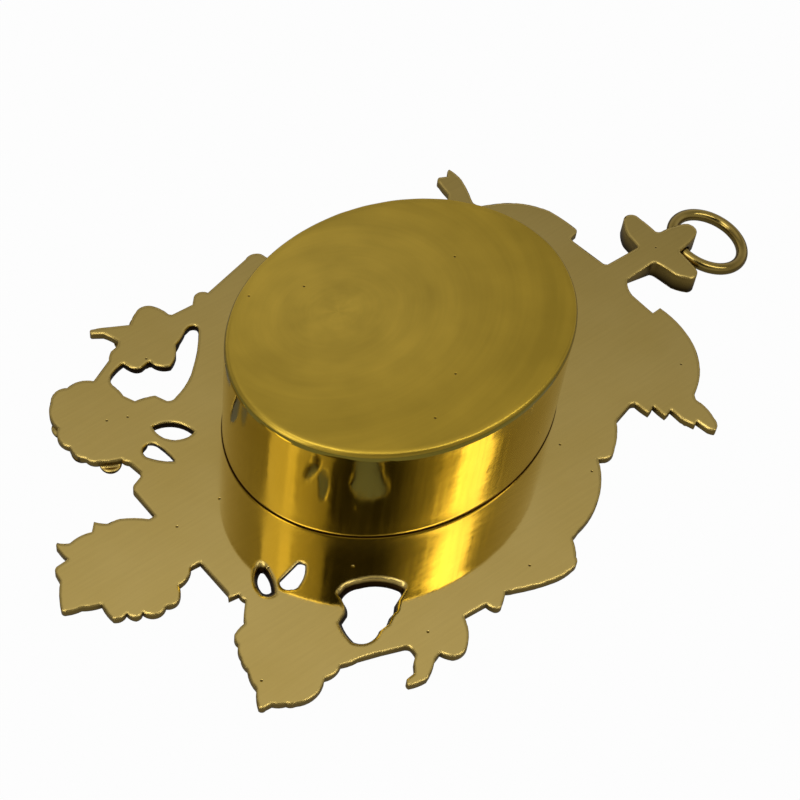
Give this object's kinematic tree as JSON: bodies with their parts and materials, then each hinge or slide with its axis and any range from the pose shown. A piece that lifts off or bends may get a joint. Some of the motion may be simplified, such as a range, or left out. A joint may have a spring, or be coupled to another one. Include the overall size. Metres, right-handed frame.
{
  "type": "amulet box",
  "caption": "Oval lidded amulet box on the back of a cast openwork plaque with a cross finial and a hanging ring; a glazed window faces the front.",
  "frame": {"origin": "centre of the front rim's flat face, which the box lies on, under the centre of the lid's oval", "axes": "+Z out of the back through the lid, +Y along the plaque towards the hanging ring, +X to the right as seen from the back"},
  "size_m": [0.0733, 0.1265, 0.0243],
  "materials": {
    "plaque_brass": "satin polished cast brass",
    "rim_brass": "polished brass",
    "collar_brass": "plain drawn brass",
    "lid_brass": "polished sheet brass with fine swirl marks",
    "ring_brass": "polished round wire",
    "clip_brass": "spring brass strip",
    "window_glass": "clear flat glass",
    "card": "plain brown card",
    "pad_velvet": "dark red velvet",
    "scroll_paper": "rolled plain paper",
    "tie_thread": "wound red thread"
  },
  "bodies": {
    "case": {"plaque": "plaque_brass", "window_rim": "rim_brass", "collar": "collar_brass", "window_glass": "window_glass", "spacer_frame": "card", "relic_pad": "pad_velvet", "amulet_scroll": "scroll_paper", "scroll_ties": "tie_thread", "backing_board": "card", "retaining_clip": "clip_brass"},
    "lid": {"lid_band": "lid_brass", "lid_plate": "lid_brass"},
    "ring": {"hanging_ring": "ring_brass"}
  },
  "joints": [
    {"name": "lid_pull", "type": "slide", "parent": "case", "child": "lid", "axis": [0, 0, 1], "range_m": [0, 0.03]},
    {"name": "ring_swing", "type": "hinge", "parent": "case", "child": "ring", "pos_m": [0.0001, 0.0579, 0.0035], "axis": [0.9455, -0.3256, 0], "range_deg": [-75, 98]}
  ]
}
